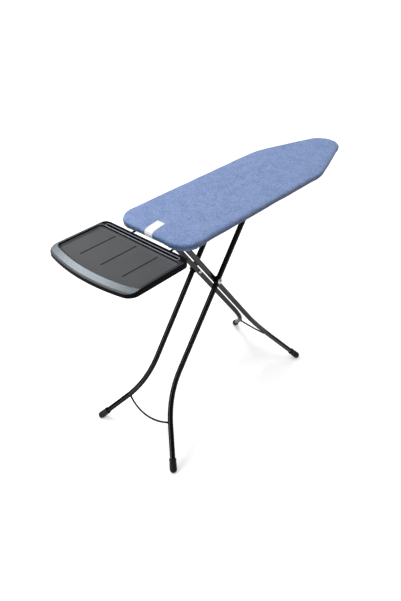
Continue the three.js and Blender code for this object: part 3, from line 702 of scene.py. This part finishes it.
def foot(name, legs, side):
    """Rubber sleeve with a domed sole worn flat, two shallow grooves and a collar."""
    dome = [(15.8 * math.sin(a), -15.8 * math.cos(a)) for a in np.linspace(0, math.pi / 2, 9)]
    sleeve = [(15.8, 7), (15.7, 12), (15.1, 12.6), (15.1, 13.8), (15.6, 14.4), (15.4, 22), (14.8, 22.6),
              (14.8, 23.8), (15.2, 24.4), (14.9, 35), (15.5, 36.4), (15.6, 37.4), (15.6, 43.6),
              (15.1, 44.7), (14.4, 45), (12.1, 45), (11.6, 43.5), (11.6, 40)]
    profile = [(radius * MM, height * MM) for radius, height in dome + sleeve]
    centre = foot_centre(legs, side)
    shape = lathe(profile, centre, leg_direction(legs, side), 40)
    for vertex in shape.verts:
        vertex.co.z = max(vertex.co.z, 0.0)
    piece(f"rubber_foot_{name}", shape, "foot_rubber", f"{name.split('_')[0]}_frame",
          [name.replace("_", "_foot_", 1)])


def leg_frame(kind):
    """Both leg tubes of a frame, their feet, and the rod welded between them."""
    legs = LEGS[kind]
    body = f"{kind}_frame"
    rise = HINGE.z - SCISSOR.z
    top_along = -rise / math.cos(legs["lean"])
    top_along += -8 * MM if kind == "outer" else 6 * MM
    for name, side in SIDES.items():
        path = leg_path(legs, side, top_along)
        piece(f"leg_tube_{kind}_{name}", tube(path, TUBE, 32, soft=1.2 * MM), legs["paint"], body,
              [f"{kind}_leg_{name}"])
        foot(f"{kind}_{name}", legs, side)
    path = bow_path(legs)
    shape = tube(path, BOW_ROD, 16)
    for end, inward in ((path[0], path[1]), (path[-1], path[-2])):
        weld(shape, end, inward - end, 6.2 * MM)
    piece(f"bow_rod_{kind}", shape, "black_paint", body, [f"{kind}_bow"])


def scissor_hardware():
    """Bolt, nylon bush and black washer at each crossing of the legs."""
    inner = LEGS["inner"]["half"]
    outer = LEGS["outer"]["half"]
    face = outer + TUBE + 0.3 * MM
    seat = face + 3.8 * MM
    gap = outer - inner - 2 * TUBE - 0.6 * MM
    head = [(4, 0), (7.1, 0), (7.5, 0.4), (7.5, 1.4), (7.1, 2.4), (6.0, 3.8), (4.2, 4.8), (0, 5.2)]
    bolt = [(0, -60 * MM), (4 * MM, -60 * MM)] + [(radius * MM, rise * MM) for radius, rise in head]
    for name, side in SIDES.items():
        axis = (0, side, 0)
        places = [Vector((SCISSOR.x, side * y, SCISSOR.z)) for y in (seat, face, inner + TUBE + 0.3 * MM)]
        piece(f"crossing_bolt_{name}", lathe(bolt, places[0], axis, 40), "zinc_steel", "inner_frame",
              [f"scissor_bolt_{name}"])
        bush = rounded(12 * MM, 0, 3.5 * MM, 0.8 * MM, 4.3 * MM)
        piece(f"crossing_bush_{name}", lathe(bush, places[1], axis, 48), "nylon", "inner_frame",
              [f"scissor_cap_{name}"])
        washer = rounded(15 * MM, 0, gap, 0.4 * MM, 4.3 * MM)
        piece(f"crossing_washer_{name}", lathe(washer, places[2], axis, 48), "tray_plastic", "inner_frame",
              [f"scissor_washer_{name}"])
        soften(f"scissor_nut_{name}", 0.5 * MM)


def top_axles():
    """The inner frame's tube and rod at the hinge, and the outer frame's bar with its rollers."""
    soft = 0.8 * MM

    def across(point, half):
        return [Vector((point.x, y, point.z)) for y in (-half, half)]

    slider = Vector((2 * SCISSOR.x - HINGE.x, 0, HINGE.z))
    shape = tube(across(HINGE, 55 * MM), TUBE, 36, soft=soft)
    legs = LEGS["inner"]
    for side in SIDES.values():
        top = on_frame(legs, -(HINGE.z - SCISSOR.z) / math.cos(legs["lean"]), side * legs["half"])
        fillet = [(11.5, 10.0), (13.9, 10.3), (14.1, 11.3), (12.9, 13.1), (11.7, 14.3), (11.4, 14.9)]
        lathe([(r * MM, h * MM) for r, h in fillet], top, down_frame(legs), 36, shape)
    piece("hinge_tube", shape, "black_paint", "inner_frame", ["inner_sleeve"])
    rod = tube(across(HINGE, 63 * MM), 6 * MM, 28, soft=soft)
    piece("hinge_rod", rod, "zinc_steel", "board", ["pivot_rod"])
    piece("slider_bar", tube(across(slider, 94.5 * MM), 8 * MM, 32, soft=soft), "black_paint", "outer_frame",
          ["outer_crossbar"])
    for name, side in SIDES.items():
        roller = [(8.2, 0), (11, 0), (12, 1), (12, 4.6), (11.5, 5.2), (11.5, 7.3), (12, 7.9), (12, 11.5),
                  (11, 12.5), (0, 12.5)]
        shape = lathe([(8.2 * MM, 10 * MM)] + [(r * MM, h * MM) for r, h in roller],
                      (slider.x, side * 84 * MM, slider.z), (0, side, 0), 40)
        piece(f"glide_roller_{name}", shape, "nylon", "outer_frame", [f"crossbar_glide_{name}"])
        cap = [(6.3, 0), (9.1, 0), (9.5, 0.5), (9.5, 4.3), (9.0, 5.4), (7.6, 6), (0, 6)]
        shape = lathe([(6.3 * MM, 3 * MM)] + [(r * MM, h * MM) for r, h in cap],
                      (HINGE.x, side * 59.3 * MM, HINGE.z), (0, side, 0), 36)
        piece(f"hinge_cap_{name}", shape, "zinc_steel", "board", [f"pivot_cap_{name}"])


# ---------------------------------------------------------------- tray

def tray_outline(side=0.0, front=0.0, back=0.0, front_corner=45 * MM, back_corner=30 * MM):
    """Plan outline of the tray; every call gives the same number of matching points."""
    half = TRAY_HIGH.y - side
    rear = TRAY_HIGH.x - back
    arc = TRAY_ARC - front
    arc_x = TRAY_LOW.x + TRAY_ARC
    corner_y = half - front_corner
    corner_x = arc_x - math.sqrt((arc - front_corner) ** 2 - corner_y ** 2)
    swing = math.asin(corner_y / (arc - front_corner))
    square = math.pi / 2

    def bend(x, y, radius, start, end, steps):
        return [Vector((x + radius * math.cos(a), y + radius * math.sin(a), 0))
                for a in np.linspace(start, end, steps)]

    points = bend(rear - back_corner, half - back_corner, back_corner, 0, square, 13)
    points += bend(corner_x, corner_y, front_corner, square, 2 * square - swing, 15)
    points += bend(arc_x, 0, arc, 2 * square - swing, 2 * square + swing, 65)[1:-1]
    points += bend(corner_x, -corner_y, front_corner, 2 * square + swing, 3 * square, 15)
    points += bend(rear - back_corner, -half + back_corner, back_corner, 3 * square, 4 * square, 13)
    filled = []
    for here, there in zip(points, points[1:] + points[:1]):
        filled.append(here)
        steps = 12 if (there - here).length > 60 * MM else 1
        filled += [here.lerp(there, step / steps) for step in range(1, steps)]
    return filled


def even_tray_outline(inset):
    """The tray's outline drawn in by the same amount all round."""
    return tray_outline(inset, inset, inset, 45 * MM - inset, 30 * MM - inset)


def well_outline(inset):
    """Outline of the well, drawn in from the rim's inner edge."""
    return tray_outline(
        WELL_SIDE + inset, LIP_WIDTH + inset, WELL_BACK + inset, 24 * MM - inset, 20 * MM - inset)


def lip_drop(point):
    """How far the broad front lip has fallen at a point."""
    reach = math.hypot(point.x - (TRAY_LOW.x + TRAY_ARC), point.y)
    return max(0.0, reach - (TRAY_ARC - LIP_WIDTH)) * LIP_DROP / LIP_WIDTH


def tray_shell():
    """A dished tub: skirt, glossy rim with a falling front lip, steep wall, sloped cove, flat floor."""
    low, high = TRAY_LOW.z, TRAY_HIGH.z
    square = math.pi / 2
    skirt = 3 * MM
    edge = 1.6 * MM
    fall = 2.5 * MM

    def level(points, height, falls=0.0):
        return [Vector((p.x, p.y, height - falls * lip_drop(p))) for p in points]

    def bevelled(points, height):
        """The back rim slopes away beyond its ridge."""
        start = TRAY_HIGH.x - 11 * MM
        return [Vector((p.x, p.y, height - lip_drop(p) - max(0.0, p.x - start) / (11 * MM) * fall))
                for p in points]

    rings = [level(even_tray_outline(inset), height) for inset, height in (
        (skirt, TRAY_FLOOR - 3 * MM), (skirt, low + 1 * MM), (skirt - 0.8 * MM, low + 0.1 * MM),
        (1.0 * MM, low), (0.2 * MM, low + 0.8 * MM), (0, low + 2.4 * MM))]
    for angle in np.linspace(0, square, 6):
        inset = edge * (1 - math.cos(angle))
        rings.append(bevelled(even_tray_outline(inset), high - edge * (1 - math.sin(angle))))
    outer = rings[-1]
    inner = level(well_outline(-1.5 * MM), high, 1)
    for share in (0.08, 0.2, 0.33, 0.5, 0.7, 0.92, 1.0):
        rings.append(bevelled([a.lerp(b, share) for a, b in zip(outer, inner)], high))
    for angle in np.linspace(0.3, square, 5):
        inset = 1.5 * MM * (math.sin(angle) - 1)
        rings.append(level(well_outline(inset), high - 1.5 * MM * (1 - math.cos(angle))))
    rise = WELL_SLOPE_RISE
    width = WELL_SLOPE_WIDTH
    cove = [(0.1 * MM, rise + 1.2 * MM), (0.5 * MM, rise + 0.2 * MM), (1.6 * MM, rise - 0.5 * MM),
            (width - 1.2 * MM, 0.6 * MM), (width - 0.2 * MM, 0.1 * MM), (width + 1.2 * MM, 0)]
    for inset, height in cove:
        rings.append(level(well_outline(inset), TRAY_FLOOR + height))
    return piece("tray_tub", loft(rings, first_cap=True, last_cap=True), "tray_plastic", "tray",
                 ["tray_shell"], sharp=30)


def slot_cutter(x_low, x_high, half_y, z_low, z_high):
    """A cutter rounded at both ends."""
    radius = (x_high - x_low) / 2
    outline = racetrack((x_low + x_high) / 2, half_y - radius, radius)
    rings = [[Vector((p.x, p.y, z)) for p in outline] for z in (z_low, z_high)]
    return loft(rings, first_cap=True, last_cap=True)


def racetrack(x, half, radius, count=12):
    """Outline of a long slot across the tray, rounded at both ends."""
    ends = []
    for sign in (1, -1):
        start = 0 if sign > 0 else math.pi
        ends += [Vector((x + radius * math.cos(a), sign * half + radius * math.sin(a), 0))
                 for a in np.linspace(start, start + math.pi, count + 1)]
    return ends


def carve(obj, cutter_shape):
    """Cuts a shape out of a piece and keeps the cut mesh."""
    bmesh.ops.recalc_face_normals(cutter_shape, faces=cutter_shape.faces)
    mesh = bpy.data.meshes.new("cutter")
    cutter_shape.to_mesh(mesh)
    cutter_shape.free()
    cutter = bpy.data.objects.new("cutter", mesh)
    bpy.context.scene.collection.objects.link(cutter)
    boolean = obj.modifiers.new("carve", "BOOLEAN")
    boolean.operation = "DIFFERENCE"
    boolean.solver = "EXACT"
    boolean.object = cutter
    evaluated = obj.evaluated_get(bpy.context.evaluated_depsgraph_get())
    carved = bpy.data.meshes.new_from_object(evaluated)
    obj.modifiers.remove(boolean)
    obj.data = carved
    bpy.data.objects.remove(cutter)
    carved.shade_smooth()
    carved.set_sharp_from_angle(angle=math.radians(30))


def tray_finishes(shell):
    """The well's floor and cove are matt, the rim's top is satin, and its walls are deep black."""
    shell.data.materials.append(FINISHES["well_plastic"])
    shell.data.materials.append(FINISHES["lip_plastic"])
    inside = TRAY_FLOOR + WELL_SLOPE_RISE
    back = TRAY_HIGH.x - WELL_BACK + 6 * MM
    for face in shell.data.polygons:
        if TRAY_FLOOR - 1 * MM < face.center.z < inside and face.normal.z > 0.3:
            face.material_index = 1
        elif face.normal.z > 0.8 and face.center.z > inside and face.center.x < back:
            face.material_index = 2


def steam_tray():
    """The tub with its groove and rod notches, the groove's bead in a painted highlight colour, and the
    rods.
    """
    shell = tray_shell()
    middle = TRAY_HIGH.x - GROOVE_FROM_BACK
    top = TRAY_HIGH.z
    carve(shell, slot_cutter(middle - 6.2 * MM, middle + 6.2 * MM, 189 * MM, top - 6 * MM, top + 9 * MM))
    for name, side in SIDES.items():
        low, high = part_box(f"tray_rod_{name}")
        centre = (low + high) / 2
        notch = Vector((TRAY_HIGH.x - 10 * MM, centre.y, centre.z))
        hole = circle(notch, Vector((0, 1, 0)), Vector((0, 0, 1)), 4.6 * MM, 20)
        hole = [Vector((p.x, p.y, p.z if p.z > centre.z else TRAY_LOW.z - 3 * MM)) for p in hole]
        ends = [[p + Vector((shift, 0, 0)) for p in hole] for shift in (0, 14 * MM)]
        carve(shell, loft(ends, first_cap=True, last_cap=True))
        long = (high.x - low.x) / MM
        profile = [(0, 0), (3, 0), (4, 1), (4, long - 5.4), (6.1, long - 5.2), (6.5, long - 4.6),
                   (6.5, long - 0.5), (6.0, long), (0, long)]
        shape = lathe([(r * MM, h * MM) for r, h in profile], (low.x, centre.y, centre.z), (1, 0, 0), 28)
        piece(f"slide_rod_{name}", shape, "black_paint", "tray", [f"tray_rod_{name}"])
        for place in ("front", "rear"):
            soften(f"rod_clip_{place}_{name}", 0.8 * MM)
        soften(f"rod_socket_{name}", 1.2 * MM)
    tray_finishes(shell)
    # Painted highlight: the bead's pale colour stands in for the light on the groove's ridges.
    bead = [point + Vector((0, 0, top)) for point in racetrack(middle, 182 * MM, 8 * MM)]
    piece("groove_bead", tube(bead, 1.8 * MM, 12, closed=True), "painted_highlight_plastic", "tray")
    for number in (1, 2, 3):
        soften(f"grip_strip_{number}", 0.5 * MM)


# ---------------------------------------------------------------- under the board

def rivets():
    """Dome rivets through the flanges that hang from the panel."""
    seats = []
    for name, side in SIDES.items():
        low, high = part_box(f"guide_rail_{name}")
        y = side * 107 * MM
        seats += [(x, y, high.z - 2 * MM) for x in np.linspace(low.x + 14 * MM, high.x - 14 * MM, 5)]
        low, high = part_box(f"pivot_bracket_{name}")
        seats += [(x, side * 71 * MM, high.z - 2 * MM) for x in (low.x + 8 * MM, high.x - 8 * MM)]
    shape = bmesh.new()
    dome = [(0, -1.9), (1.6, -1.7), (2.8, -1.0), (3.4, 0), (3.4, 0.6), (0, 0.6)]
    for seat in seats:
        lathe([(r * MM, h * MM) for r, h in dome], seat, (0, 0, 1), 16, shape)
    piece("flange_rivets", shape, "zinc_steel", "board")


def spring():
    """The release lever's coil spring and its pin."""
    pivot = PIVOTS["lever_squeeze"]
    angles = np.linspace(0, 6 * math.pi, 73)
    path = [pivot + Vector((5.2 * MM + 1.35 * MM * a / (2 * math.pi), 4.4 * MM * math.cos(a),
                            4.4 * MM * math.sin(a))) for a in angles]
    piece("return_spring", tube(path, 0.6 * MM, 10), "zinc_steel", "board", ["lever_spring"])
    pin = [(0, 0), (5.0, 0), (5.5, 0.5), (5.5, 2.7), (3, 2.7), (3, 29.4), (2.5, 30), (0, 30)]
    shape = lathe([(r * MM, h * MM) for r, h in pin], pivot - Vector((15 * MM, 0, 0)), (1, 0, 0), 28)
    piece("lever_axle", shape, "zinc_steel", "board", ["lever_pin"])


def finish_cad_nodes():
    """Every CAD node that still shows gets its slot's finish and softened edges."""
    shared = {
        "panel_steel": ["board_panel", "cross_rib_1", "cross_rib_2", "cross_rib_3", "cross_rib_4",
                        "guide_rail_left", "guide_rail_right", "pivot_bracket_left", "pivot_bracket_right"],
        "zinc_steel": ["height_rack", "lever_bracket", "scissor_nut_left", "scissor_nut_right"],
        "black_paint": ["release_lever"],
        "tray_plastic": ["lever_grip", "rod_socket_left", "rod_socket_right", "rod_clip_front_left",
                         "rod_clip_front_right", "rod_clip_rear_left", "rod_clip_rear_right"],
        "grip_rubber": ["grip_strip_1", "grip_strip_2", "grip_strip_3"],
    }
    for finish, nodes in shared.items():
        for node in nodes:
            mesh = frame["nodes"][node].data
            mesh.materials.clear()
            mesh.materials.append(FINISHES[finish])
    for node in shared["panel_steel"] + ["height_rack", "lever_bracket", "release_lever"]:
        soften(node, 0.4 * MM, 1)
    soften("lever_grip", 2.0 * MM, 3)


# ---------------------------------------------------------------- studio

def studio():
    """White floor, even world light, a broad overhead sun, and two area lights."""
    reach = 16
    corners = [(-reach, -reach, 0), (reach, -reach, 0), (reach, reach, 0), (-reach, reach, 0)]
    floor = bpy.data.meshes.new("floor")
    floor.from_pydata(corners, [], [(0, 1, 2, 3)])
    sheet = bpy.data.objects.new("studio_floor", floor)
    bpy.context.scene.collection.objects.link(sheet)
    paper = Finish("studio_paper", Roughness=0.9, Emission_Color=(1, 1, 1, 1), Emission_Strength=0.36)
    paper.shader.inputs["Specular IOR Level"].default_value = 0.1
    fibres = paper.ramp(paper.noise(2, 2), (0.3, (0.90, 0.90, 0.90)), (0.7, (0.92, 0.92, 0.92)))
    paper.link(fibres, "Base Color")
    floor.materials.append(paper.material)

    world = bpy.data.worlds.new("studio")
    world.use_nodes = True
    world.node_tree.nodes["Background"].inputs["Color"].default_value = (1.0, 1.0, 1.0, 1)
    world.node_tree.nodes["Background"].inputs["Strength"].default_value = 0.22
    bpy.context.scene.world = world
    bpy.context.scene.view_settings.view_transform = "Standard"

    sun = bpy.data.lights.new("ceiling", "SUN")
    sun.energy = 2.0
    sun.angle = math.radians(40)
    place_light("ceiling", sun, (0.15, 0.35, 3.0), (0, 0, 0))
    boxes = [
        ("back_softbox", (-0.04, 2.06, 3.06), (-0.7, 0.0, 1.0), 1.1, 1.1, 38),
        ("left_strip", (-2.42, 0.45, 1.3), (-0.2, 0.1, 0.9), 0.3, 2.2, 27),
    ]
    for name, place, target, width, height, power in boxes:
        light = bpy.data.lights.new(name, "AREA")
        light.shape = "RECTANGLE"
        light.size = width
        light.size_y = height
        light.energy = power
        place_light(name, light, place, target)


def place_light(name, light, place, target):
    """Puts a light in place, turned to its target and unseen by the camera."""
    lamp = bpy.data.objects.new(name, light)
    lamp.location = place
    lamp.rotation_euler = (Vector(target) - Vector(place)).to_track_quat("-Z", "Y").to_euler()
    lamp.visible_camera = False
    bpy.context.scene.collection.objects.link(lamp)


def camera():
    """A camera that looks down on the square end from the near side."""
    azimuth, elevation, roll = (math.radians(angle) for angle in (-47.78, 36.05, -0.39))
    back = Vector((math.sin(azimuth) * math.cos(elevation), -math.cos(azimuth) * math.cos(elevation),
                   math.sin(elevation)))
    right = Vector((math.cos(azimuth), math.sin(azimuth), 0))
    axes = Matrix((right, back.cross(right), back)).transposed()
    lens = bpy.data.cameras.new("photo_camera")
    lens.sensor_width = 36
    lens.lens = 34.52
    eye = bpy.data.objects.new("photo_camera", lens)
    turned = axes @ Matrix.Rotation(roll, 3, "Z")
    eye.matrix_world = Matrix.Translation((-1.6891, -1.3705, 2.0353)) @ turned.to_4x4()
    bpy.context.scene.collection.objects.link(eye)
    bpy.context.scene.camera = eye


# ---------------------------------------------------------------- making

camera()
studio()
finish_cad_nodes()
cover = fabric_cover()
foam_pad()
label_stitches(end_label(cover))
for kind in LEGS:
    leg_frame(kind)
scissor_hardware()
top_axles()
steam_tray()
rivets()
spring()
